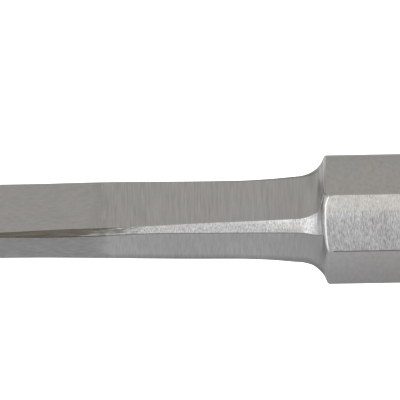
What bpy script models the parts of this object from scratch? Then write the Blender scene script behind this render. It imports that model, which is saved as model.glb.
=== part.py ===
"""V parting tool: a forged steel V gouge in an octagonal wooden handle.

Metres, +Z up.  The tool lies on one flat of its handle, as it does on a bench: the cutting edge
points to -X, the butt to +X, and the keel of the V faces -Y.

Each piece is modelled in the tool's own frame: its axis is the X axis, x = 0 is the bolster's
shoulder, and "ahead" is the distance from the shoulder towards the cutting edge.  A cross-section
is drawn as (out, up): out is measured from the axis towards the keel, up across it.
"""
import math

import bmesh
import bpy
from mathutils import Euler, Matrix, Vector

MM = 0.001
GAP = 0.3 * MM                      # clearance left between touching pieces

# Blade: a 55 degree V, 6 mm across the wings
BLADE_LENGTH = 112 * MM             # shoulder to cutting edge
V_HALF_ANGLE = math.radians(27.5)
WING_THICKNESS = 1.06 * MM
BEVEL_LENGTH = 2.6 * MM             # outside bevels of the cutting edge
EDGE_LAND = 0.12 * MM               # steel left at the cutting edge
APEX_HALF = 0.1 * MM                # half width of the trough's bottom
TROUGH_DEPTH = 3.5 * MM
TROUGH_FULL = 46 * MM               # ahead of the shoulder: full depth from here to the edge
TROUGH_END = 24 * MM                # the trough has run out here
BLADE_CLOCK = math.radians(7.0)     # the V is ground this far out of line with the bolster

# Shank and bolster
SHANK_END = 16 * MM                 # ahead of this the solid shank turns into the V
SHANK_RIM = 1.3 * MM                # how far the shank's back is chamfered in from its sides
FILLET_LENGTH = 2.2 * MM            # hollow sweep from shank to shoulder
FILLET_SWEEP = math.radians(80)     # angle of the ellipse that the sweep follows
FILLET_STEPS = 10
KEEL_LAG = 3.0                      # how far the keel flat's sweep falls behind the sides' sweep
KEEL_FLARE = 5                      # the keel flat's lower edge turns down only at the shoulder
BOLSTER_LENGTH = 10 * MM
BOLSTER_OUT = 4.75 * MM             # axis to the front and back flats
BOLSTER_UP = 5.1 * MM               # axis to the top and bottom flats
BOLSTER_FACE = 2.23 * MM            # half width of the front and back flats
BOLSTER_SIDE = 1.0 * MM             # half width of the top and bottom flats
SHOULDER_BREAK = 0.22 * MM          # rounding of the shoulder's edge
BREAK_RINGS = ((0.0, 0.35), (0.25, 0.1), (1.0, 0.0))  # its (place, inset), as shares of it
BLADE_STEPS = (2, 6, 20, 12)        # rings on the bevels, the full V, its run-out and the shank
BLADE_CREASE = 12                   # degrees: faces of the forging that turn more meet at an edge

# Tang
TANG_HALF = 2.4 * MM
TANG_TIP_HALF = 1.2 * MM
TANG_LENGTH = 64 * MM
TANG_POINT = 2.5 * MM
TANG_MARK = 0.45                    # its section's points between corners, as a share of its half width
HOLE_SPARE = 1.5 * MM               # the handle's hole is this much deeper than the tang

# Handle
HANDLE_LENGTH = 130 * MM
HANDLE_FRONT = 9.6 * MM             # axis to flats at the bolster end
HANDLE_BUTT = 12.0 * MM             # axis to flats at the butt
HANDLE_NOSE = 1.8 * MM              # chamfer at the bolster end
HANDLE_DOME = 4.5 * MM              # rounding at the butt
DOME_SWEEP = math.radians(75)
DOME_STEPS = 4
HANDLE_EDGE = 0.8 * MM              # softened corners between the flats

# Ferrule: a steel ring inside the mouth of the handle
FERRULE_OUTER = 4.35 * MM
FERRULE_INNER = 3.8 * MM
FERRULE_LENGTH = 12 * MM
FERRULE_SIDES = 48


def along(ahead, *points):
    """A smooth curve through hand-set (ahead, size) points, both in millimetres."""
    places = [p[0] * MM for p in points]
    sizes = [p[1] * MM for p in points]
    if ahead <= places[0]:
        return sizes[0]
    if ahead >= places[-1]:
        return sizes[-1]
    slopes = [(sizes[i + 1] - sizes[i]) / (places[i + 1] - places[i]) for i in range(len(sizes) - 1)]
    tangents = [slopes[0]]
    for before, after in zip(slopes, slopes[1:]):
        turns = before * after <= 0
        tangents.append(0.0 if turns else 2 * before * after / (before + after))
    tangents.append(slopes[-1])
    i = max(k for k in range(len(places) - 1) if places[k] <= ahead)
    span = places[i + 1] - places[i]
    t = (ahead - places[i]) / span
    return (
        (2 * t**3 - 3 * t**2 + 1) * sizes[i]
        + (t**3 - 2 * t**2 + t) * span * tangents[i]
        + (3 * t**2 - 2 * t**3) * sizes[i + 1]
        + (t**3 - t**2) * span * tangents[i + 1]
    )


def ease(value, start, end):
    """0 at start, 1 at end, smooth between them."""
    t = min(max((value - start) / (end - start), 0.0), 1.0)
    return t * t * (3 - 2 * t)


def mix(a, b, t):
    return a + (b - a) * t


def blade_section(ahead):
    """Upper half of the blade or shank section, from the keel round to the trough's bottom."""
    keel_out = along(ahead, (0, 2.35), (12, 2.72), (18.5, 3.5), (26, 3.85), (60, 3.75), (112, 3.7))
    keel_half = along(
        ahead, (0, 0.62), (5, 0.49), (10, 0.395), (15, 0.3), (20, 0.31), (26, 0.18), (34, 0.08),
    )
    wing_up = along(
        ahead, (0, 3.52), (1.8, 3.46), (3, 3.38), (4.6, 3.27), (7, 3.18), (14, 3.15),
        (18, 3.11), (24, 3.02), (32, 3.0), (112, 3.1),
    )
    wing_out = along(
        ahead, (0, 0), (4, -0.2), (10, -0.6), (18, -1.4), (26, -1.68), (40, -1.95), (112, -2.1),
    )
    side_flat = along(ahead, (0, 0.9), (4, 0.5), (10, 0.22), (14, 0.1), (112, 0.1))
    back = along(ahead, (0, -2.5), (14, -2.3), (40, -2.2), (112, -2.26))

    v_shape = ease(ahead, SHANK_END, TROUGH_FULL)
    rim = mix(SHANK_RIM, WING_THICKNESS / math.cos(V_HALF_ANGLE), v_shape)
    inner_rim = wing_up - rim
    apex = back + TROUGH_DEPTH * ease(ahead, TROUGH_END, TROUGH_FULL)

    bevel = max(0.0, 1 - (BLADE_LENGTH - ahead) / BEVEL_LENGTH)
    keel_out = mix(keel_out, apex + EDGE_LAND / math.sin(V_HALF_ANGLE), bevel)
    wing_up = mix(wing_up, inner_rim + EDGE_LAND, bevel)
    return [
        (keel_out, keel_half),
        (wing_out, wing_up),
        (wing_out - side_flat, wing_up),
        (back, inner_rim),
        (apex, APEX_HALF),
    ]


def bolster_section():
    return [
        (BOLSTER_OUT, BOLSTER_FACE),
        (BOLSTER_SIDE, BOLSTER_UP),
        (-BOLSTER_SIDE, BOLSTER_UP),
        (-BOLSTER_OUT, BOLSTER_FACE),
        (-BOLSTER_OUT, APEX_HALF),
    ]


def tang_section(half):
    mark = half * TANG_MARK
    return [(half, mark), (half, half), (-half, half), (-half, mark), (-half, APEX_HALF / 2)]


def inset(section, amount):
    """The section with its flats moved in towards the axis."""
    scale = 1 - amount / BOLSTER_OUT
    return [(out * scale, up * scale) for out, up in section]


def whole_ring(upper, lower, clock=0.0):
    """Joins two half sections and turns them about the axis.  Points are (y, z)."""
    ring = upper + [(out, -up) for out, up in reversed(lower)]
    turn = Matrix.Rotation(clock, 2)
    points = []
    for out, up in ring:
        y, z = turn @ Vector((-out, up))
        points.append((y, z))
    return points


def side_slope(section):
    """How far the side face runs out for each step towards the middle plane."""
    (keel_out, keel_up), (wing_out, wing_up) = section[:2]
    return (keel_out - wing_out) / (wing_up - keel_up)


def sweep_ring(ahead, rise):
    """Ring of the hollow sweep: rise is 0 on the shank and 1 on the bolster.

    The keel flat lags behind the sides, so its upper edge slides along the side face.
    """
    blade = blade_section(ahead)
    bolster = bolster_section()
    half = [(mix(a[0], b[0], rise), mix(a[1], b[1], rise)) for a, b in zip(blade, bolster)]
    keel_out = mix(blade[0][0], bolster[0][0], rise - KEEL_LAG * rise**4 * (1 - rise))
    slope = mix(side_slope(blade), side_slope(bolster), rise)
    wing_out, wing_up = half[1]
    upper = [(keel_out, wing_up - (keel_out - wing_out) / slope)] + half[1:]
    lower = [(keel_out, mix(blade[0][1], bolster[0][1], rise**KEEL_FLARE))] + half[1:]
    return whole_ring(upper, lower, BLADE_CLOCK * (1 - rise))


def forging_rings():
    """(x, ring) from the cutting edge to the point of the tang."""
    rings = []
    ahead = BLADE_LENGTH
    stops = (BLADE_LENGTH - BEVEL_LENGTH, TROUGH_FULL, SHANK_END, FILLET_LENGTH)
    for stop, count in zip(stops, BLADE_STEPS):
        for i in range(count):
            place = mix(ahead, stop, i / count)
            section = blade_section(place)
            rings.append((-place, whole_ring(section, section, BLADE_CLOCK)))
        ahead = stop

    rise_full = 1 - math.cos(FILLET_SWEEP)
    for i in range(FILLET_STEPS):
        angle = FILLET_SWEEP * i / FILLET_STEPS
        place = FILLET_LENGTH * (1 - math.sin(angle) / math.sin(FILLET_SWEEP))
        rings.append((-place, sweep_ring(place, (1 - math.cos(angle)) / rise_full)))

    bolster = bolster_section()
    for back, depth in BREAK_RINGS:
        section = inset(bolster, SHOULDER_BREAK * depth)
        rings.append((SHOULDER_BREAK * back, whole_ring(section, section)))
    rings.append((BOLSTER_LENGTH, whole_ring(bolster, bolster)))

    tang_end = BOLSTER_LENGTH + TANG_LENGTH
    for x, half in (
        (BOLSTER_LENGTH, TANG_HALF),
        (tang_end - TANG_POINT, TANG_TIP_HALF),
        (tang_end, TANG_TIP_HALF / 2),
    ):
        section = tang_section(half)
        rings.append((x, whole_ring(section, section)))
    return rings


def steel(name, color, roughness):
    return material(name, color, roughness, 1.0)


def material(name, color, roughness, metallic):
    made = bpy.data.materials.new(name)
    made.use_nodes = True
    shader = made.node_tree.nodes["Principled BSDF"]
    shader.inputs["Base Color"].default_value = (*color, 1.0)
    shader.inputs["Roughness"].default_value = roughness
    shader.inputs["Metallic"].default_value = metallic
    return made


def add_part(name, bm, surface, axis_frame, crease=30):
    """Turns a bmesh into an object on the tool's axis.

    It is shaded smooth, except where its faces turn by more than crease degrees.
    """
    bmesh.ops.recalc_face_normals(bm, faces=bm.faces)
    mesh = bpy.data.meshes.new(name)
    bm.to_mesh(mesh)
    bm.free()
    mesh.shade_smooth()
    mesh.set_sharp_from_angle(angle=math.radians(crease))
    mesh.materials.append(surface)
    part = bpy.data.objects.new(name, mesh)
    bpy.context.collection.objects.link(part)
    part.parent = axis_frame
    return part


def skin(bm, rings):
    """Joins rings of equal length, given as (x, [(y, z), ...]), with four-sided faces."""
    loops = [[bm.verts.new((x, y, z)) for y, z in ring] for x, ring in rings]
    for near, far in zip(loops, loops[1:]):
        for i in range(len(near)):
            j = (i + 1) % len(near)
            bm.faces.new((near[i], near[j], far[j], far[i]))
    return loops


def make_blade(axis_frame):
    """Blade, shank, bolster and tang, forged in one piece."""
    bm = bmesh.new()
    loops = skin(bm, forging_rings())
    edge = loops[0]
    bm.faces.new(edge[0:5])
    bm.faces.new(edge[5:10])
    bm.faces.new((edge[0], edge[4], edge[5], edge[9]))
    bm.faces.new(loops[-1])
    surface = steel("blade_steel", (0.34, 0.335, 0.325), 0.35)
    return add_part("v_blade", bm, surface, axis_frame, BLADE_CREASE)


def octagon(apothem):
    """Ring of points (y, z) with eight flats, whose corners are rounded off through three points."""
    radius = apothem / math.cos(math.pi / 8)
    corners = [math.pi / 8 + i * math.pi / 4 for i in range(8)]
    sharp = [Vector((radius * math.cos(a), radius * math.sin(a))) for a in corners]
    points = []
    for i, corner in enumerate(sharp):
        before = corner + (sharp[i - 1] - corner).normalized() * HANDLE_EDGE
        after = corner + (sharp[(i + 1) % 8] - corner).normalized() * HANDLE_EDGE
        points += [tuple(before), tuple((before + 2 * corner + after) / 4), tuple(after)]
    return points


def make_handle(axis_frame):
    """Octagonal and tapered, so that each flat stays a plane; its mouth takes ferrule and tang."""
    front = BOLSTER_LENGTH + GAP
    butt = front + HANDLE_LENGTH
    slope = (HANDLE_BUTT - HANDLE_FRONT) / HANDLE_LENGTH

    rings = [
        (front, octagon(HANDLE_FRONT - HANDLE_NOSE)),
        (front + HANDLE_NOSE, octagon(HANDLE_FRONT + slope * HANDLE_NOSE)),
    ]
    shoulder = HANDLE_BUTT - slope * HANDLE_DOME
    for i in range(DOME_STEPS + 1):
        angle = DOME_SWEEP * i / DOME_STEPS
        x = butt - HANDLE_DOME * (1 - math.sin(angle) / math.sin(DOME_SWEEP))
        rings.append((x, octagon(shoulder - HANDLE_DOME * (1 - math.cos(angle)))))

    bm = bmesh.new()
    loops = skin(bm, rings)
    bm.faces.new(loops[0])
    bm.faces.new(loops[-1])
    handle = add_part("handle", bm, material("ash_wood", (0.72, 0.52, 0.30), 0.55, 0.0), axis_frame)

    seat = bmesh.new()
    bmesh.ops.create_cone(
        seat,
        cap_ends=True,
        segments=FERRULE_SIDES,
        radius1=FERRULE_OUTER + GAP,
        radius2=FERRULE_OUTER + GAP,
        depth=2 * (FERRULE_LENGTH + GAP),
        matrix=Matrix.Translation((front, 0, 0)) @ Matrix.Rotation(math.pi / 2, 4, "Y"),
    )
    cut(handle, add_part("ferrule_seat_cutter", seat, handle.active_material, axis_frame))

    hole_end = BOLSTER_LENGTH + TANG_LENGTH + HOLE_SPARE
    hole_start = front + FERRULE_LENGTH
    hole = bmesh.new()
    slim = (TANG_TIP_HALF - TANG_HALF) / (TANG_LENGTH - TANG_POINT)
    mouth = TANG_HALF + slim * (hole_start - BOLSTER_LENGTH) + GAP
    bottom = TANG_HALF + slim * (hole_end - BOLSTER_LENGTH) + GAP
    ends = ((hole_start, mouth), (hole_end, bottom))
    squares = [(x, [(-half, -half), (half, -half), (half, half), (-half, half)]) for x, half in ends]
    loops = skin(hole, squares)
    hole.faces.new(loops[0])
    hole.faces.new(loops[-1])
    cut(handle, add_part("tang_hole_cutter", hole, handle.active_material, axis_frame))
    return handle


def cut(part, cutter):
    cutter.hide_render = True
    cutter.display_type = "WIRE"
    boolean = part.modifiers.new(cutter.name, "BOOLEAN")
    boolean.operation = "DIFFERENCE"
    boolean.solver = "EXACT"
    boolean.object = cutter


def make_ferrule(axis_frame):
    """A plain steel ring, flush with the handle's mouth, that stops the tang from splitting it."""
    front = BOLSTER_LENGTH + GAP
    bm = bmesh.new()
    steps = [(front, FERRULE_INNER), (front, FERRULE_OUTER)]
    steps += [(front + FERRULE_LENGTH, FERRULE_OUTER), (front + FERRULE_LENGTH, FERRULE_INNER)]
    profile = [bm.verts.new((x, 0, radius)) for x, radius in steps]
    edges = [bm.edges.new((profile[i], profile[(i + 1) % 4])) for i in range(4)]
    bmesh.ops.spin(
        bm,
        geom=edges,
        axis=(1, 0, 0),
        cent=(0, 0, 0),
        angle=2 * math.pi,
        steps=FERRULE_SIDES,
        use_merge=True,
    )
    bmesh.ops.remove_doubles(bm, verts=bm.verts, dist=0.001 * MM)
    return add_part("inner_ferrule", bm, steel("ferrule_steel", (0.55, 0.54, 0.52), 0.4), axis_frame)


def lay_down(axis_frame, parts):
    """Tilts the tool onto its tapered bottom flat and puts the origin under the middle of it."""
    front = BOLSTER_LENGTH + GAP
    tilt = math.atan((HANDLE_BUTT - HANDLE_FRONT) / HANDLE_LENGTH)
    turn = Euler((0, -tilt, 0))
    turned = turn.to_matrix()
    flat = turned @ Vector((front, 0, -HANDLE_FRONT))
    xs = [(turned @ vertex.co).x for part in parts for vertex in part.data.vertices]
    axis_frame.rotation_euler = turn
    axis_frame.location = (-(min(xs) + max(xs)) / 2, 0, -flat.z)


def main():
    for old in list(bpy.data.objects):
        bpy.data.objects.remove(old, do_unlink=True)
    axis_frame = bpy.data.objects.new("tool_axis", None)
    bpy.context.collection.objects.link(axis_frame)
    parts = [make_blade(axis_frame), make_handle(axis_frame), make_ferrule(axis_frame)]
    lay_down(axis_frame, parts)


main()
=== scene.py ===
"""Looks of the V parting tool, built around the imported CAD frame.  Metres, +Z up.

The forging and the handle are drawn in the tool's own frame, as in the CAD: the axis is the X
axis, x = 0 is the bolster's shoulder, "ahead" is the distance from it towards the cutting edge,
and a section is given as (out, up), out towards the keel of the V.
"""
import math

import bmesh
import bpy
from mathutils import Matrix, Vector


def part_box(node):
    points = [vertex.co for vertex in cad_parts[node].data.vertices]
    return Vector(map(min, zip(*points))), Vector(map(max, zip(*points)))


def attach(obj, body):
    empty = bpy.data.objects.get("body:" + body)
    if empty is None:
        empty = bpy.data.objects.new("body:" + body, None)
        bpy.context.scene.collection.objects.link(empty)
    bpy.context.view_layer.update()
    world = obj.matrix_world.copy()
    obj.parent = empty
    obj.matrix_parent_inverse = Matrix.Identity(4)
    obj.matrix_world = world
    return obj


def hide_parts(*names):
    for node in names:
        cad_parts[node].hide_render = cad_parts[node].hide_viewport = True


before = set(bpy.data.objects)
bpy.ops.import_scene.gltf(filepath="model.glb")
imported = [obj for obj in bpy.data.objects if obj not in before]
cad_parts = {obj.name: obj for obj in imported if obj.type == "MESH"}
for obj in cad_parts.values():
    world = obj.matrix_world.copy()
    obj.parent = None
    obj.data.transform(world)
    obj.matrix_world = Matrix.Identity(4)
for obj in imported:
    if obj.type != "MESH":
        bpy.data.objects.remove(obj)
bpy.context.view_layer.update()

MM = 0.001

# ---- sizes of the CAD model that the pieces below follow
BLADE_LENGTH = 112 * MM
V_HALF_ANGLE = math.radians(27.5)
WING_THICKNESS = 1.06 * MM
BEVEL_LENGTH = 2.6 * MM
EDGE_LAND = 0.12 * MM
APEX_HALF = 0.1 * MM
TROUGH_DEPTH = 3.5 * MM
TROUGH_FULL = 46 * MM
TROUGH_END = 24 * MM
BLADE_CLOCK = math.radians(7.0)
SHANK_END = 16 * MM
SHANK_RIM = 1.3 * MM
FILLET_LENGTH = 2.2 * MM
FILLET_SWEEP = math.radians(80)
BOLSTER_LENGTH = 10 * MM
BOLSTER_OUT = 4.75 * MM
BOLSTER_UP = 5.1 * MM
BOLSTER_FACE = 2.23 * MM
BOLSTER_SIDE = 1.0 * MM
TANG_HALF = 2.4 * MM
TANG_TIP_HALF = 1.2 * MM
TANG_LENGTH = 64 * MM
TANG_POINT = 2.5 * MM
HANDLE_LENGTH = 130 * MM
HANDLE_FRONT = 9.6 * MM
HANDLE_BUTT = 12.0 * MM
HANDLE_NOSE = 1.8 * MM
HANDLE_DOME = 4.5 * MM
DOME_SWEEP = math.radians(75)
HANDLE_EDGE = 0.8 * MM
FERRULE_OUTER = 4.35 * MM
FERRULE_LENGTH = 12 * MM
GAP = 0.3 * MM
HOLE_SPARE = 1.5 * MM               # the tang's hole is this much deeper than the tang is long
TAPER = (HANDLE_BUTT - HANDLE_FRONT) / HANDLE_LENGTH
BUTT_END_HALF = HANDLE_BUTT - TAPER * HANDLE_DOME - HANDLE_DOME * (1 - math.cos(DOME_SWEEP))
TILT = math.atan(TAPER)

# ---- what the forging's skin adds to them
SHOULDER_RADIUS = 0.25 * MM
REAR_RADIUS = 0.25 * MM
CORNER_ROUND = 0.25 * MM            # extra rounding where the keel's upper corner meets the shoulder,
ROUND_AHEAD = (0.5 * MM, 0.2 * MM)  # which grows over this stretch ahead of the shoulder
ROUND_BEHIND = (-0.55 * MM, -0.15 * MM)     # and over this one behind it
KEEL_LAG = 3.0                      # how far the keel flat's sweep falls behind the sides' sweep
LOWER_DROP = 0.24 * MM              # how far the keel's lower edge curves down into the sweep
DROP_START = 2.1 * MM               # it begins to, this far ahead of the shoulder,
DROP_END = 0.3 * MM                 # and is all the way down here
# the lower side's sweep is not quite the upper one's mirror image: (ahead, further out) in mm
LOWER_SWELL = ((0, 0), (0.35, -0.05), (1.0, -0.05), (1.6, 0.02), (2.4, 0.045), (3.6, 0.015), (5, 0))
CROWN = 0.09 * MM                   # the bolster's front face is slightly crowned
FACE_ABOVE = BOLSTER_FACE + 0.06 * MM   # the front face reaches this far above the axis
FACE_BELOW = BOLSTER_FACE - 0.035 * MM  # and this far below it

# Radii in millimetres of the section's corners, from the keel round to the back
SHANK_RADII = (0.09, 0.35, 0.12, 0.1, 0.15)
BOLSTER_RADII = (0.09, 0.12, 0.12, 0.1, 0.15)
TANG_RADIUS = 0.05 * MM
ARC_LIMIT = 0.45                    # an arc takes up no more than this part of a flat beside it

# Distances between the skin's rings, and numbers of steps round its curves
BEVEL_STEP = 0.2 * MM
BLADE_STEP = 1.5 * MM
SHANK_STEP = 0.35 * MM
BOLSTER_STEP = 0.3 * MM
EDGE_TO_BOLSTER = 0.03 * MM
SWEEP_STEPS = 40
EDGE_STEPS = 8
ARC_STEPS = 4
FLAT_STEPS = 8
FORGING_CREASE = 35                 # degrees; edges sharper than this don't shade smooth

# The section's corners and flats go round from the keel's upper corner; flat i follows corner i
CORNERS = 10
UPPER_KEEL, UPPER_WING, LOWER_WING, LOWER_KEEL = 0, 1, 8, 9
UPPER_FACE, LOWER_FACE, KEEL_FLAT = 0, 8, 9
BACK_FLATS = (3, 4, 5)
UNDER_FLATS = (6, 7, 8)

# The shoulder's edge in millimetres: how far back it lies at each corner, and how far it bows
# ahead between two corners, with the place of the bow's peak
SHOULDER_BACK = (-0.2, -0.1, -0.07, 0, 0, 0, 0, 0.03, 0.03, -0.115)
SHOULDER_BOW = {KEEL_FLAT: (0.17, 0.48), UPPER_FACE: (0.06, 0.4), LOWER_FACE: (0.1, 0.5)}
TURN_BACK = 0.18 * MM               # the edge turns further back round the keel's upper corner,
TURN_SHARE = 0.12                   # over this part of the flats beside it
BOW_AHEAD = 0.85 * MM               # the bow is felt this far ahead of the shoulder,
TURN_AHEAD = 0.4 * MM               # the turn this far ahead,
FELT_BEHIND = 1.5 * MM              # and both this far behind it

# Where the finishes change, ahead of the shoulder: a place, or the two ends of a stretch
RIM = (-0.24 * MM, 0.02 * MM)           # the front face's edge at the shoulder, a painted highlight
UPPER_RIM = (-0.17 * MM, 0.06 * MM)     # the upper side face's edge at the shoulder, a painted highlight
GLINT = (-0.08 * MM, 0.1 * MM)          # the bright point at the keel's upper corner
FACET_END = 0.15 * MM                   # the side face's finish runs round that corner to here
CORNER_END = 0.9 * MM                   # the keel's upper edge carries painted shade up to here
UPPER_LINE_END = 1.3 * MM               # the shank's upper edge carries a painted shade line up to here
LOWER_LINE_END = 17 * MM                # the shank's lower edge carries a painted shade line up to here
MIRROR_EDGE_START = 17.6 * MM               # the keel's lower edge is polished from here on, and painted dark for its dark reflection
FACE_EDGE_START = -0.4 * MM                    # the front face's long edges start behind here, the lower one with a painted shade line; ahead of here they take the side faces' finishes
TANG_START = -BOLSTER_LENGTH + 0.02 * MM


def along(ahead, *points):
    """A smooth curve through listed (ahead, size) points, both in millimetres."""
    places = [p[0] * MM for p in points]
    sizes = [p[1] * MM for p in points]
    if ahead <= places[0]:
        return sizes[0]
    if ahead >= places[-1]:
        return sizes[-1]
    slopes = [(sizes[i + 1] - sizes[i]) / (places[i + 1] - places[i]) for i in range(len(sizes) - 1)]
    tangents = [slopes[0]]
    for before, after in zip(slopes, slopes[1:]):
        turns = before * after <= 0
        tangents.append(0.0 if turns else 2 * before * after / (before + after))
    tangents.append(slopes[-1])
    i = max(k for k in range(len(places) - 1) if places[k] <= ahead)
    span = places[i + 1] - places[i]
    t = (ahead - places[i]) / span
    return (
        (2 * t**3 - 3 * t**2 + 1) * sizes[i]
        + (t**3 - 2 * t**2 + t) * span * tangents[i]
        + (3 * t**2 - 2 * t**3) * sizes[i + 1]
        + (t**3 - t**2) * span * tangents[i + 1]
    )


def ease(value, start, end):
    """0 at start and 1 at end, with a smooth passage between them."""
    t = min(max((value - start) / (end - start), 0.0), 1.0)
    return t * t * (3 - 2 * t)


def mix(a, b, t):
    return a + (b - a) * t


def bend(start, corner, end, t):
    """A point of the curve that rounds off this corner."""
    return start * (1 - t) ** 2 + corner * 2 * t * (1 - t) + end * t**2


def spaced(start, stop, step):
    """Places from start up to, but not at, stop, about a step apart."""
    count = max(1, round(abs(stop - start) / step))
    return [mix(start, stop, i / count) for i in range(count)]


# ---- the forging's sections
def blade_section(ahead):
    """Upper half of the blade or shank section, from the keel round to the trough's bottom."""
    keel_out = along(ahead, (0, 2.35), (12, 2.72), (18.5, 3.5), (26, 3.85), (60, 3.75), (112, 3.7))
    keel_half = along(
        ahead, (0, 0.62), (5, 0.49), (10, 0.395), (15, 0.3), (20, 0.31), (26, 0.18), (34, 0.08)
    )
    wing_up = along(
        ahead,
        (0, 3.52), (1.8, 3.46), (3, 3.38), (4.6, 3.27), (7, 3.18),
        (14, 3.15), (18, 3.11), (24, 3.02), (32, 3.0), (112, 3.1),
    )
    wing_out = along(
        ahead, (0, 0), (4, -0.2), (10, -0.6), (18, -1.4), (26, -1.68), (40, -1.95), (112, -2.1)
    )
    side_flat = along(ahead, (0, 0.9), (4, 0.5), (10, 0.22), (14, 0.1), (112, 0.1))
    back = along(ahead, (0, -2.5), (14, -2.3), (40, -2.2), (112, -2.26))

    v_shape = ease(ahead, SHANK_END, TROUGH_FULL)
    rim = mix(SHANK_RIM, WING_THICKNESS / math.cos(V_HALF_ANGLE), v_shape)
    inner_rim = wing_up - rim
    apex = back + TROUGH_DEPTH * ease(ahead, TROUGH_END, TROUGH_FULL)

    bevel = max(0.0, 1 - (BLADE_LENGTH - ahead) / BEVEL_LENGTH)
    keel_out = mix(keel_out, apex + EDGE_LAND / math.sin(V_HALF_ANGLE), bevel)
    wing_up = mix(wing_up, inner_rim + EDGE_LAND, bevel)
    return [
        (keel_out, keel_half),
        (wing_out, wing_up),
        (wing_out - side_flat, wing_up),
        (back, inner_rim),
        (apex, APEX_HALF),
    ]


def bolster_section(face):
    """Upper half of the bolster's section; its front face reaches this far from the middle."""
    return [
        (BOLSTER_OUT, face),
        (BOLSTER_SIDE, BOLSTER_UP),
        (-BOLSTER_SIDE, BOLSTER_UP),
        (-BOLSTER_OUT, BOLSTER_FACE),
        (-BOLSTER_OUT, APEX_HALF),
    ]


def tang_section(half):
    return [
        (half, half * 0.45),
        (half, half),
        (-half, half),
        (-half, half * 0.45),
        (-half, half * 0.03),
    ]


def side_slope(section):
    """How far the side face runs out for each step towards the middle plane."""
    (keel_out, keel_up), (wing_out, wing_up) = section[:2]
    return (keel_out - wing_out) / (wing_up - keel_up)


def halves(ahead, rise):
    """The section's upper and lower half, from the shank's (rise 0) to the bolster's (rise 1)."""
    at = max(ahead, 0.0)
    blade = blade_section(at)
    bolster = bolster_section(FACE_ABOVE)
    upper = [(mix(a[0], b[0], rise), mix(a[1], b[1], rise)) for a, b in zip(blade, bolster)]
    lower = list(upper)
    # the keel flat's own sweep lags, so its upper edge slides along the side face
    keel_out = mix(blade[0][0], bolster[0][0], rise - KEEL_LAG * rise**4 * (1 - rise))
    slope = mix(side_slope(blade), side_slope(bolster), rise)
    upper[0] = (keel_out, upper[1][1] - (keel_out - upper[1][0]) / slope)
    drop = LOWER_DROP * ease(ahead, DROP_START, DROP_END) * (1 - rise)
    lower[0] = (keel_out, mix(blade[0][1], FACE_BELOW, rise**5) + drop)
    swell = along(at, *LOWER_SWELL)
    lower[1:3] = [(out, up + swell) for out, up in lower[1:3]]
    return upper, lower


def corner_radii(ahead, rise):
    half = [mix(a, b, rise) * MM for a, b in zip(SHANK_RADII, BOLSTER_RADII)]
    radii = half + half[::-1]
    radii[UPPER_KEEL] += CORNER_ROUND * ease(ahead, *ROUND_BEHIND) * ease(ahead, *ROUND_AHEAD)
    return radii


def rounded_ring(upper, lower, radii, clock):
    """Whole section with rounded corners, as (y, z, place, flat number).

    The place is 0..1 across the flat, and -1..0 on the arc that begins it.
    """
    ring = upper + [(out, -up) for out, up in reversed(lower)]
    turn = Matrix.Rotation(clock, 2)
    corners = [turn @ Vector((-out, up)) for out, up in ring]
    cuts = []
    for i, corner in enumerate(corners):
        before = corners[i - 1] - corner
        after = corners[(i + 1) % CORNERS] - corner
        angle = math.pi - before.angle(after, math.pi)
        cut = radii[i] * math.tan(angle / 2)
        cuts.append(min(cut, before.length * ARC_LIMIT, after.length * ARC_LIMIT))
    points = []
    for i, corner in enumerate(corners):
        following = corners[(i + 1) % CORNERS]
        before = (corners[i - 1] - corner).normalized()
        after = (following - corner).normalized()
        start = corner + before * cuts[i]
        end = corner + after * cuts[i]
        for k in range(ARC_STEPS + 1):
            t = k / ARC_STEPS
            p = bend(start, corner, end, t)
            points.append((p.x, p.y, t - 1, i))
        stop = following - after * cuts[(i + 1) % CORNERS]
        for k in range(1, FLAT_STEPS):
            t = (1 - math.cos(math.pi * k / FLAT_STEPS)) / 2
            p = end.lerp(stop, t)
            points.append((p.x, p.y, t, i))
    return points


# ---- the forging's skin
def profile():
    """(ahead, rise) of each ring from the cutting edge to near the back of the bolster.

    The rise is 0 along the blade and shank, and grows to 1 in the hollow sweep.
    """
    path = [(a, 0.0) for a in spaced(BLADE_LENGTH, BLADE_LENGTH - BEVEL_LENGTH, BEVEL_STEP)]
    path += [(a, 0.0) for a in spaced(BLADE_LENGTH - BEVEL_LENGTH, TROUGH_FULL, BLADE_STEP)]
    path += [(a, 0.0) for a in spaced(TROUGH_FULL, FILLET_LENGTH, SHANK_STEP)]
    rise_full = 1 - math.cos(FILLET_SWEEP)
    sweep = []
    for i in range(SWEEP_STEPS + 1):
        angle = FILLET_SWEEP * i / SWEEP_STEPS
        ahead = FILLET_LENGTH * (1 - math.sin(angle) / math.sin(FILLET_SWEEP))
        sweep.append((ahead, (1 - math.cos(angle)) / rise_full))
    # round the shoulder's edge between the end of the sweep and the bolster's faces
    height = BOLSTER_UP - blade_section(0.0)[1][1]
    cut = SHOULDER_RADIUS * math.tan(FILLET_SWEEP / 2)
    sweep = [p for p in sweep if math.hypot(p[0], (1 - p[1]) * height) > cut]
    path += sweep
    start = Vector(sweep[-1])
    corner = Vector((0.0, 1.0))
    end = Vector((-cut, 1.0))
    path += [tuple(bend(start, corner, end, i / EDGE_STEPS)) for i in range(1, EDGE_STEPS + 1)]
    rear = -BOLSTER_LENGTH + REAR_RADIUS
    path += [(a, 1.0) for a in spaced(-cut - EDGE_TO_BOLSTER, rear, BOLSTER_STEP)]
    return path


def shoulder_back(place, flat):
    """How far the shoulder's edge lies behind its straight line."""
    t = max(place, 0.0)
    back = mix(SHOULDER_BACK[flat], SHOULDER_BACK[(flat + 1) % CORNERS], t) * MM
    if flat in SHOULDER_BOW:
        bow, peak = SHOULDER_BOW[flat]
        side = (t - peak) / (peak if t < peak else 1 - peak)
        back -= bow * MM * (1 - side**2)
    return back


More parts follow.
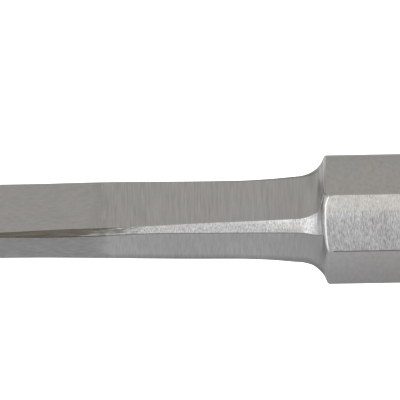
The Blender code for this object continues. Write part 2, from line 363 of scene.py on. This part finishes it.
def corner_back(place, flat):
    """How much further back the edge lies round the keel's upper corner."""
    if flat == KEEL_FLAT:
        return TURN_BACK * max(0.0, 1 - (1 - place) / TURN_SHARE) ** 2
    if flat == UPPER_FACE:
        return TURN_BACK * max(0.0, -place)
    return 0.0


def crown_at(place, flat):
    return CROWN * 4 * place * (1 - place) if flat == KEEL_FLAT and place > 0 else 0.0


def felt(ahead, front):
    """How much a change of the shoulder's edge is felt here: 1 at the edge, 0 from front on."""
    return ease(ahead, front, 0.0) * ease(ahead, -FELT_BEHIND, 0.0)


def forging_rings():
    """(ahead, points) of each ring, from the cutting edge to the tang's tip."""
    rings = []
    for ahead, rise in profile():
        upper, lower = halves(ahead, rise)
        ring = rounded_ring(upper, lower, corner_radii(ahead, rise), BLADE_CLOCK * (1 - rise))
        points = []
        for y, z, place, flat in ring:
            back = felt(ahead, BOW_AHEAD) * shoulder_back(place, flat)
            back += felt(ahead, TURN_AHEAD) * corner_back(place, flat)
            points.append((back - ahead, y - rise * crown_at(place, flat), z))
        rings.append((ahead, points))
    # the bolster's rear edge and back: (millimetres further back, size of the section)
    for step, scale in ((0.0, 1.0), (0.12, 0.994), (0.22, 0.98), (0.25, 0.955)):
        x = BOLSTER_LENGTH - REAR_RADIUS + step * MM
        ring = rounded_ring(*halves(-x, 1.0), corner_radii(-x, 1.0), 0.0)
        points = []
        for y, z, place, flat in ring:
            points.append((x, (y - crown_at(place, flat)) * scale, z * scale))
        rings.append((-x, points))
    for x, half in (
        (BOLSTER_LENGTH, TANG_HALF),
        (BOLSTER_LENGTH + TANG_LENGTH - TANG_POINT, TANG_TIP_HALF),
        (BOLSTER_LENGTH + TANG_LENGTH, TANG_TIP_HALF / 2),
    ):
        section = tang_section(half)
        ring = rounded_ring(section, section, [TANG_RADIUS] * CORNERS, 0.0)
        rings.append((-x, [(x, y, z) for y, z, place, flat in ring]))
    return rings


def tool_to_row():
    """Tool frame to row frame: the handle's tapered bottom flat lies on the floor."""
    turn = Matrix.Rotation(-TILT, 4, "Y")
    flat = turn @ Vector((BOLSTER_LENGTH + GAP, 0, -HANDLE_FRONT))
    butt = turn @ Vector((BOLSTER_LENGTH + GAP + HANDLE_LENGTH, 0, -BUTT_END_HALF))
    return Matrix.Translation((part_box("handle")[1].x - butt.x, 0, -flat.z)) @ turn


TOOL = tool_to_row()


def link(name, content):
    """Puts this mesh, light or camera into the scene as a new object."""
    made = bpy.data.objects.new(name, content)
    bpy.context.scene.collection.objects.link(made)
    return made


def skin(name, rings, crease, finish_number=None):
    """Closed mesh through a row of rings, with its edges over the crease angle left sharp.

    finish_number(k, i) gives the material slot of the face between rings k and k + 1 at point i.
    """
    bm = bmesh.new()
    loops = [[bm.verts.new(point) for point in ring] for ring in rings]
    count = len(loops[0])
    for k, (near, far) in enumerate(zip(loops, loops[1:])):
        for i in range(count):
            j = (i + 1) % count
            face = bm.faces.new((near[i], near[j], far[j], far[i]))
            if finish_number:
                face.material_index = finish_number(k, i)
    bm.faces.new(loops[0])
    bm.faces.new(loops[-1])
    bmesh.ops.recalc_face_normals(bm, faces=bm.faces)
    mesh = bpy.data.meshes.new(name)
    bm.to_mesh(mesh)
    bm.free()
    mesh.shade_smooth()
    mesh.set_sharp_from_angle(angle=math.radians(crease))
    return mesh


def make_forging(finishes):
    """The whole forging as one closed skin, in the tool's frame."""
    rings = forging_rings()

    def finish_number(k, i):
        ahead = (rings[k][0] + rings[k + 1][0]) / 2
        flat, step = divmod(i, ARC_STEPS + FLAT_STEPS)
        return finishes.index(forging_finish(ahead, flat, step < ARC_STEPS))

    mesh = skin("forged_blade", [points for ahead, points in rings], FORGING_CREASE, finish_number)
    tip = mesh.polygons[len(mesh.polygons) - 1]
    tip.material_index = finishes.index("tang")
    piece = link("forged_blade", mesh)
    piece.matrix_world = TOOL
    return piece


# ---- materials
EDGE_TINT = 0.5                     # steel reflects less than Fresnel's law says at a low angle
WING_TINT = 0.42
STEEL = (0.245, 0.245, 0.245)
WHITE = (1.0, 1.0, 1.0)
COOL = (0.995, 1.0, 0.995)
WARM = (1.03, 1.0, 0.98)
COLOR_SOCKETS = (6, 7)              # of a Mix node that mixes colours; its result is output 2
ACROSS = 0.25                       # turn of the anisotropy where the scratches run round the tool
GRAIN_DEPTH = 0.004 * MM            # of ordinary grinding

# Stretches along X, in millimetres, over which one finish gives way to the next
GRAIN_TURNS = (-18.8, -17.4)        # the sides' lengthwise scratches to the shank's crosswise ones
BRUSH_STARTS = (-19.1, -16.4)       # the keel's polished stretch, painted dark for its dark reflection, to a brushed stretch
STRIP_STARTS = (-16.0, -14.6)       # and that to the bright strip

# Noise scales of the narrow edges
EVEN_GRAIN = (3000, 3000, 3000)
RIM_GRAIN = (5000, 3000, 3000)


def neutral(shade):
    return (shade, shade, shade)


def scaled(values, amount):
    return tuple(value * amount for value in values)


class Surface:
    """A material being built, with the piece's own X and Z as sockets.

    Places along X and Z are in millimetres; a noise scale is in features per metre along each axis.
    """

    def __init__(self, name):
        self.material = bpy.data.materials.new(name)
        self.material.use_nodes = True
        self.tree = self.material.node_tree
        self.shader = self.tree.nodes["Principled BSDF"]
        self.where = self.node("TexCoord").outputs["Object"]
        parts = self.node("SeparateXYZ", {"Vector": self.where})
        self.x = parts.outputs["X"]
        self.z = parts.outputs["Z"]

    def give(self, socket, value):
        """Link another socket to this one, or set its value."""
        if isinstance(value, bpy.types.NodeSocket):
            self.tree.links.new(value, socket)
        elif socket.type == "RGBA":
            socket.default_value = (*value, 1.0)
        else:
            socket.default_value = value

    def node(self, kind, inputs=None):
        made = self.tree.nodes.new("ShaderNode" + kind)
        for name, value in (inputs or {}).items():
            self.give(made.inputs[name], value)
        return made

    def noise(self, scale, detail=3.0, roughness=0.6):
        where = self.node("Mapping", {"Vector": self.where, "Scale": scale}).outputs["Vector"]
        inputs = {"Vector": where, "Scale": 1.0, "Detail": detail, "Roughness": roughness}
        return self.node("TexNoise", inputs).outputs["Fac"]

    def spread(self, value, low=0.0, high=1.0, start=0.3, end=0.7):
        """Low where the value is start or less, high where it is end or more.

        The start and end given here suit a noise, which seldom leaves 0.3 to 0.7.
        """
        inputs = {"Value": value, "From Min": start, "From Max": end, "To Min": low, "To Max": high}
        return self.node("MapRange", inputs).outputs["Result"]

    def ramp(self, place, start, end, low=0.0, high=1.0):
        """Low before start and high past end, both in millimetres."""
        return self.spread(place, low, high, start * MM, end * MM)

    def band(self, place, start, full, fade, end):
        """0 outside start..end, 1 between full and fade, all in millimetres."""
        return self.times(self.ramp(place, start, full), self.ramp(place, fade, end, 1.0, 0.0))

    def math(self, kind, values):
        made = self.tree.nodes.new("ShaderNodeMath")
        made.operation = kind
        for socket, value in zip(made.inputs, values):
            self.give(socket, value)
        return made.outputs["Value"]

    def add(self, *values):
        total = values[0]
        for value in values[1:]:
            total = self.math("ADD", (total, value))
        return total

    def times(self, *values):
        product = values[0]
        for value in values[1:]:
            product = self.math("MULTIPLY", (product, value))
        return product

    def rest(self, value):
        """What is left of 1."""
        return self.math("SUBTRACT", (1.0, value))

    def blend(self, factor, first, second, kind="MIX"):
        made = self.tree.nodes.new("ShaderNodeMix")
        made.data_type = "RGBA"
        made.blend_type = kind
        self.give(made.inputs["Factor"], factor)
        for number, color in zip(COLOR_SOCKETS, (first, second)):
            self.give(made.inputs[number], color)
        return made.outputs[2]

    def tint(self, color, *others):
        """The colour times each of the other colours or shades."""
        for other in others:
            color = self.blend(1.0, color, other, "MULTIPLY")
        return color

    def relief(self, height, depth, strength=1.0):
        bump = self.node("Bump", {"Height": height, "Distance": depth, "Strength": strength})
        self.give(self.shader.inputs["Normal"], bump.outputs["Normal"])

    def steel(self, color, roughness, anisotropy=0.0, turn=ACROSS, edge_tint=EDGE_TINT):
        """Makes the surface ground steel, whose scratches run round the tool's axis."""
        around = self.node("Tangent")
        around.direction_type = "RADIAL"
        around.axis = "X"
        for name, value in (
            ("Base Color", color),
            ("Metallic", 1.0),
            ("Roughness", roughness),
            ("Specular Tint", neutral(edge_tint)),
            ("Tangent", around.outputs["Tangent"]),
            ("Anisotropic", anisotropy),
            ("Anisotropic Rotation", turn),
        ):
            self.give(self.shader.inputs[name], value)
        return self.material


def ground_steel(
    name, color, contrast, fine, coarse=None, roughness=0.4, depth=GRAIN_DEPTH, anisotropy=0.0
):
    """Steel whose scratches and patches follow the fine and the coarse noise scale."""
    made = Surface(name)
    scratches = made.noise(fine)
    patches = made.noise(coarse or scaled(fine, 0.2), 2.0, 0.5)
    grain = made.blend(made.spread(scratches), scaled(color, 1 - contrast), scaled(color, 1 + contrast))
    color = made.tint(grain, made.blend(made.spread(patches), COOL, WARM))
    made.relief(scratches, depth)
    return made.steel(color, made.spread(scratches, roughness * 0.85, roughness * 1.15), anisotropy)


def bolster_steel():
    """The bolster's square flats: coarse cross grinding, with painted light as a lighter band along the
    top.
    """
    made = Surface("bolster_steel")
    grain = made.noise((24000, 3400, 3400), 3.0, 0.75)
    cloud = made.noise((900, 500, 500), 2.0, 0.5)
    shade = made.add(made.spread(grain, 0.0, 0.88, 0.33, 0.67), made.spread(cloud, 0.0, 0.12))
    lower = made.blend(shade, (0.095, 0.095, 0.097), (0.39, 0.39, 0.393))
    # the upper band is painted lighter, as painted light
    upper = made.blend(shade, (0.19, 0.186, 0.18), (0.42, 0.415, 0.401))
    # painted shade darkens the lower band at the flat's bottom, and painted light brightens it where
    # the upper band is near
    painted_top_light = made.ramp(made.z, 0.2, 0.8, 1.0, 1.13)
    painted_foot_shading = made.ramp(made.z, -2.4, -1.95, 0.82, 1.0)
    lower = made.tint(lower, painted_top_light, painted_foot_shading)
    border = made.ramp(made.add(made.z, made.spread(cloud, -0.03 * MM, 0.03 * MM)), 0.95, 1.1)
    made.relief(grain, 0.012 * MM)
    return made.steel(made.blend(border, lower, upper), made.spread(grain, 0.32, 0.42), 0.45)


def strip_color(made, dots):
    """The keel's bright strip along the shank, which glints more towards the shoulder."""
    dim = made.blend(made.spread(dots), neutral(0.2), neutral(0.44))
    glint = made.blend(made.spread(dots), neutral(0.27), neutral(0.61))
    strip = made.blend(made.ramp(made.x, -6.0, -1.0), dim, glint)
    # a painted highlight along its upper edge, painted shade where it turns up into the sweep, and
    # darker along its lower edge
    crest_highlight = made.ramp(made.add(made.z, made.times(made.x, -0.02)), 0.03, 0.15)
    crest_highlight = made.times(crest_highlight, made.band(made.x, -10.5, -4.0, -3.5, -2.0))
    crest_highlight = made.blend(crest_highlight, WHITE, (1.25, 1.25, 1.26))
    sweep = made.ramp(made.x, -1.5, -0.8, 1.0, 0.77)
    lower_darkening = made.ramp(made.z, -0.6, -0.3, 0.2, 0.0)
    lower_darkening = made.times(made.band(made.x, -5.5, -3.5, -2.2, -1.7), lower_darkening)
    # the brow is the shaded corner between the strip and the upper side's sweep
    brow = made.ramp(made.add(made.z, made.times(made.x, -0.6)), 0.9, 1.15, 0.0, 0.3)
    brow = made.times(brow, made.ramp(made.x, -1.6, -1.2))
    return made.tint(strip, crest_highlight, sweep, made.rest(lower_darkening), made.rest(brow))


def wall_color(made, strip):
    """The strip, and over it the steep wall where the keel rises to the shoulder's edge, in painted
    light and shade.
    """
    slant = made.times(made.math("MINIMUM", (made.z, 0.0)), 0.1)
    high = made.ramp(made.z, 0.8, 1.2)
    # painted light and shade: the wall is painted lighter than the steel, darker higher up and towards
    # its bottom
    wall = made.blend(high, (0.36, 0.362, 0.366), (0.29, 0.29, 0.292))
    painted_foot_shading = made.ramp(made.z, -0.7, -0.4, 0.76, 1.0)
    painted_foot_shading = made.times(painted_foot_shading, made.ramp(made.x, -0.7, -0.4, 1.22, 1.06))
    steep = made.ramp(made.math("SUBTRACT", (made.x, slant)), -0.92, -0.5)
    color = made.blend(steep, strip, made.tint(wall, painted_foot_shading))
    # a painted highlight where the wall meets the shoulder's edge
    lip = made.ramp(made.add(made.x, slant), -0.45, -0.3)
    return made.blend(made.times(lip, made.rest(high)), color, (0.6, 0.605, 0.615))


def keel_steel():
    """The keel's flat: polished along the blade and painted dark there for its dark reflection, coarse
    and bright where the shank starts.
    """
    made = Surface("keel_steel")
    streaks = made.noise((400, 9000, 9000))
    dots = made.noise((13000, 5500, 5500), 2.0, 0.7)
    bright = wall_color(made, strip_color(made, dots))
    # the polished stretch is painted dark, as a painted dark reflection
    dark = made.blend(made.spread(streaks), (0.063, 0.057, 0.047), (0.102, 0.093, 0.078))
    brushed = made.blend(made.spread(streaks), (0.12, 0.118, 0.114), (0.30, 0.30, 0.295))
    ragged = made.add(made.x, made.spread(streaks, -1.2 * MM, 1.2 * MM))
    slanted = made.add(ragged, made.times(made.add(made.z, 0.44 * MM), -4.0))
    grain_and_painted_reflection = made.blend(made.ramp(slanted, *BRUSH_STARTS), dark, brushed)
    ground = made.ramp(ragged, *STRIP_STARTS)
    made.relief(dots, 0.03 * MM, 0.6)
    return made.steel(made.blend(ground, grain_and_painted_reflection, bright), made.spread(ground, 0.22, 0.4, 0.0, 1.0), 0.25)


def shank_line(made, turned, shaded):
    """Painted shade: the darker line along the shank's lower edge, which follows it down into the
    sweep.
    """
    sweep = made.ramp(made.x, -1.9, -0.4, 0.0, 0.028)
    height = made.add(
        made.z,
        made.times(made.x, 0.02),
        made.ramp(made.x, -5.7, -1.9, 0.0, 0.15 * MM),
        made.times(sweep, sweep),
    )
    line = made.times(made.ramp(height, -3.07, -2.77, 1.0, 0.0), turned)
    return made.blend(line, WHITE, neutral(shaded))


def sweep_shade(made, steep):
    """Light and shade in the hollow sweep, which grows steep over this stretch along X."""
    lit = made.times(made.ramp(made.x, *steep), made.ramp(made.z, 2.4, 3.9, 1.0, 0.0))
    shade = made.blend(lit, WHITE, neutral(1.5))
    hollow = made.times(
        made.band(made.x, -0.53, -0.42, -0.36, -0.24),
        made.ramp(made.z, 2.4, 3.4),
        made.ramp(made.z, 3.7, 4.5, 1.0, 0.3),
        0.36,
    )
    shadow = made.times(made.band(made.x, -1.7, -1.2, -0.7, -0.5), made.ramp(made.z, 2.0, 2.8), 0.15)
    return made.tint(shade, made.add(hollow, 1.0), made.rest(shadow))


def wing_steel(name, blade, shank, shaded=1.0, fade=(1.0, 0.95), steep=(-0.88, -0.62)):
    """The V's outside: finished lengthwise along the blade and crosswise on the shank.

    blade and shank are each (color, contrast, noise scale); shaded is the painted shade of the line at
    the shank's lower edge, fade the tone of the shank's front end and the painted shade of its end at
    the sweep, and steep the stretch along X over which the hollow sweep grows steep.
    """
    made = Surface(name)
    patches = made.noise((500, 700, 700), 2.0, 0.5)
    # 0 on the blade's lengthwise finish, 1 on the shank's crosswise one
    ragged = made.add(made.x, made.spread(patches, -0.5 * MM, 0.5 * MM))
    turned = made.ramp(ragged, *GRAIN_TURNS)
    kept = made.rest(turned)
    lengthwise = made.spread(made.noise(blade[2]), -blade[1], blade[1])
    across = made.spread(made.noise(shank[2], 4.0), -shank[1], shank[1])
    worked = made.times(turned, made.ramp(made.x, -3.4, -1.6, 1.0, 0.6))
    grain = made.add(made.times(lengthwise, kept), made.times(across, worked), 1.0)
    border = made.blend(made.times(turned, kept), WHITE, (0.72, 0.73, 0.72))
    warm = made.blend(made.spread(patches), (0.995, 0.993, 0.988), (1.018, 1.002, 0.992))
    # lead sets the tone of the shank's front end, and trail paints shade on its end towards the sweep
    lead = made.times(made.ramp(made.x, -16.8, -12.0, 1.0, 0.0), turned)
    lead = made.blend(lead, WHITE, neutral(fade[0]))
    trail = made.blend(made.ramp(made.x, -6.0, -1.0), WHITE, neutral(fade[1]))
    color = made.tint(made.blend(turned, blade[0], shank[0]), grain, border, warm)
    color = made.tint(color, shank_line(made, turned, shaded), sweep_shade(made, steep), lead, trail)
    rough = made.add(made.spread(grain, 0.29, 0.39, 0.8, 1.2), made.spread(turned, 0.0, 0.06, 0.0, 1.0))
    made.relief(grain, 0.006 * MM)
    return made.steel(color, rough, 0.5, made.spread(turned, 0.0, ACROSS, 0.0, 1.0), WING_TINT)


def facet_steel(name, color, bottom, top):
    """A side flat of the bolster, its shade changing evenly between two heights (height, shade)."""
    made = Surface(name)
    grain = made.noise((3600, 2100, 2100))
    cloud = made.noise((520, 380, 380), 2.0, 0.5)
    mottled = made.blend(made.spread(grain), scaled(color, 0.91), scaled(color, 1.09))
    warm = made.blend(made.spread(cloud), COOL, WARM)
    shade = made.ramp(made.z, bottom[0], top[0], bottom[1], top[1])
    made.relief(grain, GRAIN_DEPTH)
    return made.steel(made.tint(mottled, warm, shade), made.spread(grain, 0.34, 0.46), 0.5)


def upper_rim_steel():
    """The upper side face's front edge: a painted highlight at the outer corner, fading down the face.
    """
    made = Surface("upper_rim_steel")
    grain = made.noise(RIM_GRAIN)
    grain_and_painted_reflection = made.ramp(made.add(made.z, made.spread(grain, -0.1 * MM, 0.1 * MM)), 3.3, 4.7)
    color = made.blend(grain_and_painted_reflection, neutral(0.22), neutral(0.36))
    made.relief(grain, GRAIN_DEPTH)
    return made.steel(color, made.spread(grain, 0.36, 0.44), 0.4)


def rim_steel():
    """The edge between the shoulder and the front face, a painted highlight which fades at its lower
    end.
    """
    made = Surface("rim_steel")
    grain = made.noise(RIM_GRAIN)
    grain_and_painted_reflection = made.blend(made.spread(grain), neutral(0.39), neutral(0.47))
    lit = made.ramp(made.z, -1.4, 0.8, 1.14, 0.96)
    end = made.ramp(made.z, -2.2, -1.8, 0.55, 1.0)
    made.relief(grain, GRAIN_DEPTH)
    return made.steel(made.tint(grain_and_painted_reflection, lit, end), made.spread(grain, 0.44, 0.52), 0.3)


def edge_steel(name, shade):
    """A narrow edge of the forging, in a painted shade line or a painted glint."""
    return ground_steel(name, neutral(shade), 0.1, EVEN_GRAIN)


def forging_finishes():
    """The forging's materials under the names that forging_finish gives."""
    return {
        "wing": wing_steel(
            "blade_steel",
            (STEEL, 0.08, (1600, 4600, 4600)),
            (neutral(0.25), 0.14, (7600, 400, 400)),
        ),
        # the lower side's copy of the steel, its tones and fades set to paint the lower faces' light
        # and shade
        "under_wing": wing_steel(
            "blade_under_steel",
            ((0.228, 0.229, 0.230), 0.18, (1500, 3400, 3400)),
            ((0.254, 0.256, 0.259), 0.15, (7600, 600, 600)),
            shaded=0.76,
            fade=(1.22, 0.9),
            steep=(-0.38, -0.22),
        ),
        # narrow edges: the dark ones are painted shade along rounded edges, the bright corner is a
        # painted glint, and the keel's polished lower edge along the blade is painted dark for its dark
        # reflection
        "under_edge": ground_steel("shank_edge_steel", neutral(0.17), 0.1, (6000, 900, 900)),
        "keel": keel_steel(),
        "keel_edge": edge_steel("keel_edge_steel", 0.12),
        "keel_corner": edge_steel("keel_corner_steel", 0.15),
        "face_corner": edge_steel("face_corner_steel", 0.4),
        "face_edge": edge_steel("face_edge_steel", 0.08),
        "mirror_edge": ground_steel("mirror_edge_steel", (0.05, 0.047, 0.04), 0.1, EVEN_GRAIN),
        "flat": bolster_steel(),
        "facet": facet_steel("facet_steel", STEEL, (4.0, 1.03), (5.1, 0.99)),
        "under_facet": facet_steel(
            "facet_under_steel", (0.241, 0.245, 0.249), (-4.9, 0.91), (-2.6, 1.11)
        ),
        "rim": rim_steel(),
        "upper_rim": upper_rim_steel(),
        "tang": ground_steel(
            "tang_steel", (0.2, 0.19, 0.18), 0.2, (900, 900, 900), (200, 200, 200), 0.5, 0.05 * MM
        ),
    }


def within(ahead, stretch):
    return stretch[0] < ahead < stretch[1]


def lower_keel_finish(ahead):
    """The keel's lower edge, and behind the shoulder the front face's."""
    if ahead >= MIRROR_EDGE_START:
        return "mirror_edge"
    if ahead >= 0:
        return "keel_edge"
    return "under_facet" if ahead > FACE_EDGE_START else "face_edge"


def upper_keel_finish(ahead):
    """The keel's upper edge, and behind the shoulder the front face's."""
    if ahead > CORNER_END:
        return "keel"
    if ahead >= FACET_END:
        return "keel_corner"
    if within(ahead, GLINT):
        return "face_corner"
    return "facet" if ahead > FACE_EDGE_START else "flat"


def forging_finish(ahead, flat, arc):
    """Name of the finish of a face that lies on this flat, or on the arc that begins it."""
    if ahead < TANG_START:
        return "tang"
    if arc and flat == LOWER_KEEL:
        return lower_keel_finish(ahead)
    if arc and flat == UPPER_KEEL:
        return upper_keel_finish(ahead)
    bolster = ahead < 0
    if flat == KEEL_FLAT:
        if within(ahead, RIM):
            return "rim"
        return "flat" if bolster else "keel"
    if arc and flat == LOWER_WING and 0 <= ahead < LOWER_LINE_END:
        return "under_edge"
    if arc and flat == UPPER_WING and 0 <= ahead < UPPER_LINE_END:
        return "under_edge"
    if flat in (UPPER_FACE, UPPER_WING) and within(ahead, UPPER_RIM):
        return "upper_rim"
    if bolster and flat in BACK_FLATS:
        return "flat"
    if flat in UNDER_FLATS:
        return "under_facet" if bolster else "under_wing"
    return "facet" if bolster else "wing"


finishes = forging_finishes()
forging = make_forging(list(finishes))
for finish in finishes.values():
    forging.data.materials.append(finish)
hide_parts("v_blade")
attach(forging, "root")

# ---- handle
OCTAGON = 8
CORNER_STEPS = 5
FACE_STEPS = 6
LENGTH_STEP = 6 * MM
DOME_STEPS = 10
HANDLE_CREASE = 30                  # degrees
MOUTH_BREAK = 0.15 * MM             # the ferrule's seat is broken this much at the handle's front
SOFT = 0.3 * MM                     # the nose's chamfer begins and ends this softly


def octagon(half):
    """Ring of (y, z) with eight flats at this distance from the axis and rounded corners."""
    eighth = 2 * math.pi / OCTAGON
    radius = half / math.cos(eighth / 2)
    corners = []
    for i in range(OCTAGON):
        angle = eighth / 2 + i * eighth
        corners.append(Vector((radius * math.cos(angle), radius * math.sin(angle))))
    points = []
    for i, corner in enumerate(corners):
        following = corners[(i + 1) % OCTAGON]
        start = corner + (corners[i - 1] - corner).normalized() * HANDLE_EDGE
        end = corner + (following - corner).normalized() * HANDLE_EDGE
        points += [bend(start, corner, end, k / CORNER_STEPS) for k in range(CORNER_STEPS + 1)]
        stop = following + (corner - following).normalized() * HANDLE_EDGE
        points += [end.lerp(stop, k / FACE_STEPS) for k in range(1, FACE_STEPS)]
    return points


def circle(like, radius):
    return [p.normalized() * radius for p in like]


def square(like, half):
    return [p * (half / max(abs(p.x), abs(p.y))) for p in like]


def handle_rings():
    """(x, ring) from the bottom of the tang's hole, out of the mouth and along to the butt."""
    front = BOLSTER_LENGTH + GAP
    butt = front + HANDLE_LENGTH
    nose = HANDLE_FRONT - HANDLE_NOSE
    mouth = octagon(nose)
    seat = FERRULE_OUTER + GAP
    seat_end = front + FERRULE_LENGTH + GAP
    hole_end = BOLSTER_LENGTH + TANG_LENGTH + HOLE_SPARE
    slim = (TANG_TIP_HALF - TANG_HALF) / (TANG_LENGTH - TANG_POINT)
    rings = []
    for x in (hole_end, seat_end):
        rings.append((x, square(mouth, TANG_HALF + slim * (x - BOLSTER_LENGTH) + GAP)))
    rings.append((seat_end, circle(mouth, seat)))
    rings.append((front + MOUTH_BREAK, circle(mouth, seat)))
    rings.append((front, circle(mouth, seat + MOUTH_BREAK)))
    # the nose's chamfer, with both of its edges softened
    for x, half in (
        (0.0, nose - SOFT),
        (SOFT * 0.2, nose - SOFT * 0.3),
        (SOFT, nose + SOFT * 0.8),
        (HANDLE_NOSE - SOFT, HANDLE_FRONT - SOFT),
        (HANDLE_NOSE, HANDLE_FRONT - SOFT * 0.3),
        (HANDLE_NOSE + SOFT, HANDLE_FRONT - SOFT * 0.06),
    ):
        rings.append((front + x, octagon(half + TAPER * x)))
    for x in spaced(HANDLE_NOSE + 3 * SOFT, HANDLE_LENGTH - HANDLE_DOME, LENGTH_STEP):
        rings.append((front + x, octagon(HANDLE_FRONT + TAPER * x)))
    shoulder = HANDLE_BUTT - TAPER * HANDLE_DOME
    for i in range(DOME_STEPS + 1):
        angle = DOME_SWEEP * i / DOME_STEPS
        x = butt - HANDLE_DOME * (1 - math.sin(angle) / math.sin(DOME_SWEEP))
        rings.append((x, octagon(shoulder - HANDLE_DOME * (1 - math.cos(angle)))))
    return rings


def make_handle():
    rings = [[(x, p.x, p.y) for p in ring] for x, ring in handle_rings()]
    mesh = skin("ash_handle", rings, HANDLE_CREASE)
    mesh.transform(TOOL)
    return link("ash_handle", mesh)


def growth_rings(made):
    """Saw waves round a pith that lies outside the handle, stretched along the grain."""
    aside = made.node(
        "Mapping", {"Vector": made.where, "Location": (0.0, 0.023, 0.009), "Scale": (0.09, 1.0, 1.0)}
    )
    inputs = {
        "Vector": aside.outputs["Vector"],
        "Scale": 130.0,
        "Distortion": 2.6,
        "Detail": 2.0,
        "Detail Scale": 0.7,
    }
    years = made.node("TexWave", inputs)
    years.wave_type = "RINGS"
    years.rings_direction = "X"
    years.wave_profile = "SAW"
    return years.outputs["Fac"]


def ash_wood():
    """Oiled ash: growth rings whose early wood is full of open pores, darker where hands hold it."""
    made = Surface("ash_wood")
    early = made.spread(growth_rings(made), 1.0, 0.0, 0.05, 0.6)
    fibres = made.noise((45, 2600, 2600))
    vessels = made.noise((130, 4200, 4200), 2.0, 0.5)
    handling = made.noise((28, 60, 60), 2.0, 0.5)
    pores = made.spread(vessels, 0.0, 1.0, 0.54, 0.62)
    pores = made.times(pores, made.spread(early, 0.15, 1.0, 0.0, 0.8))
    late_wood = made.blend(made.spread(fibres), (0.58, 0.385, 0.205), (0.69, 0.48, 0.275))
    early_wood = made.blend(made.spread(fibres), (0.47, 0.285, 0.135), (0.57, 0.37, 0.19))
    wood = made.blend(early, late_wood, early_wood)
    wood = made.blend(made.times(pores, 0.75), wood, (0.23, 0.125, 0.055))
    wood = made.tint(wood, made.blend(made.spread(handling), (0.86, 0.83, 0.78), (1.03, 1.02, 1.0)))
    rough = made.add(made.spread(handling, 0.36, 0.46), made.spread(pores, 0.0, 0.25, 0.0, 1.0))
    made.give(made.shader.inputs["Base Color"], wood)
    made.give(made.shader.inputs["Roughness"], rough)
    made.give(made.shader.inputs["Coat Weight"], 0.12)
    made.give(made.shader.inputs["Coat Roughness"], 0.3)
    made.relief(made.math("SUBTRACT", (made.spread(fibres, 0.0, 0.25), pores)), 0.06 * MM, 0.7)
    return made.material


handle = make_handle()
handle.data.materials.append(ash_wood())
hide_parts("handle")
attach(handle, "root")

# ---- ferrule: the CAD node itself, with a better material
ferrule_steel = ground_steel(
    "ferrule_steel", (0.5, 0.49, 0.47), 0.15, (9000, 1500, 1500), roughness=0.35, anisotropy=0.4
)
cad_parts["inner_ferrule"].material_slots[0].material = ferrule_steel

# ---- stage, light and camera
VIEW_WIDTH = 32 * MM
VIEW_DISTANCE = 0.5
VIEW_ELEVATION = math.radians(4.2)
AIM_AHEAD = 10.08 * MM              # the view's middle, from the shoulder
AIM_UP = 1.57 * MM
SENSOR_WIDTH = 36.0                 # in millimetres, as Blender takes it
FLOOR_HALF = 15.0
FLOOR_COLOR = (0.88, 0.9, 0.94)
FLOOR_GLOW = 0.43
SKY_COLOR = (1.0, 0.975, 0.93)
SKY_STRENGTH = 1.2


def make_floor():
    mesh = bpy.data.meshes.new("floor")
    corners = [(-FLOOR_HALF, -FLOOR_HALF, 0), (FLOOR_HALF, -FLOOR_HALF, 0)]
    corners += [(FLOOR_HALF, FLOOR_HALF, 0), (-FLOOR_HALF, FLOOR_HALF, 0)]
    mesh.from_pydata(corners, [], [(0, 1, 2, 3)])
    floor = link("floor", mesh)
    paint = bpy.data.materials.new("floor_paint")
    paint.use_nodes = True
    shader = paint.node_tree.nodes["Principled BSDF"]
    shader.inputs["Base Color"].default_value = (*FLOOR_COLOR, 1)
    shader.inputs["Roughness"].default_value = 1.0
    shader.inputs["Specular IOR Level"].default_value = 0.0
    shader.inputs["Emission Color"].default_value = (*WHITE, 1)
    shader.inputs["Emission Strength"].default_value = FLOOR_GLOW
    mesh.materials.append(paint)


def softbox(name, azimuth, elevation, distance, size, radiance):
    """Rectangular light that points at the origin, from azimuth 0 in front of the tool."""
    light = bpy.data.lights.new(name, "AREA")
    light.shape = "RECTANGLE"
    light.size, light.size_y = size
    light.energy = radiance * math.pi * size[0] * size[1]
    lamp = link(name, light)
    a = math.radians(azimuth)
    e = math.radians(elevation)
    away = Vector((math.sin(a) * math.cos(e), -math.cos(a) * math.cos(e), math.sin(e)))
    lamp.location = away * distance
    lamp.rotation_mode = "QUATERNION"
    lamp.rotation_quaternion = away.to_track_quat("Z", "Y")
    lamp.visible_camera = False


def make_light():
    scene = bpy.context.scene
    scene.world = bpy.data.worlds.new("studio")
    scene.world.use_nodes = True
    sky = scene.world.node_tree.nodes["Background"]
    sky.inputs["Color"].default_value = (*SKY_COLOR, 1)
    sky.inputs["Strength"].default_value = SKY_STRENGTH
    softbox("front_wall", 0, 13, 1.1, (3.0, 0.5), 0.7)
    softbox("left_wall", -58, 10, 1.0, (0.7, 0.4), 5.2)
    softbox("left_side", -97, 12, 1.0, (0.6, 0.45), 1.5)
    softbox("back_left", -150, 10, 1.0, (0.7, 0.4), 1.2)
    scene.view_settings.view_transform = "Standard"
    scene.view_settings.look = "None"
    scene.view_settings.exposure = 0.0
    scene.view_settings.gamma = 1.0


def make_camera():
    data = bpy.data.cameras.new("camera")
    data.sensor_width = SENSOR_WIDTH
    data.lens = SENSOR_WIDTH * VIEW_DISTANCE / VIEW_WIDTH
    data.clip_start = 0.01
    data.clip_end = 100
    camera = link("camera", data)
    shoulder = TOOL @ Vector((0, 0, 0))
    up = Vector((0, math.sin(VIEW_ELEVATION), math.cos(VIEW_ELEVATION)))
    back = Vector((0, -math.cos(VIEW_ELEVATION), math.sin(VIEW_ELEVATION)))
    aim = shoulder + Vector((-AIM_AHEAD, 0, 0)) + up * AIM_UP
    camera.location = aim + back * VIEW_DISTANCE
    camera.rotation_mode = "QUATERNION"
    camera.rotation_quaternion = back.to_track_quat("Z", "Y")
    bpy.context.scene.camera = camera


make_floor()
make_light()
make_camera()
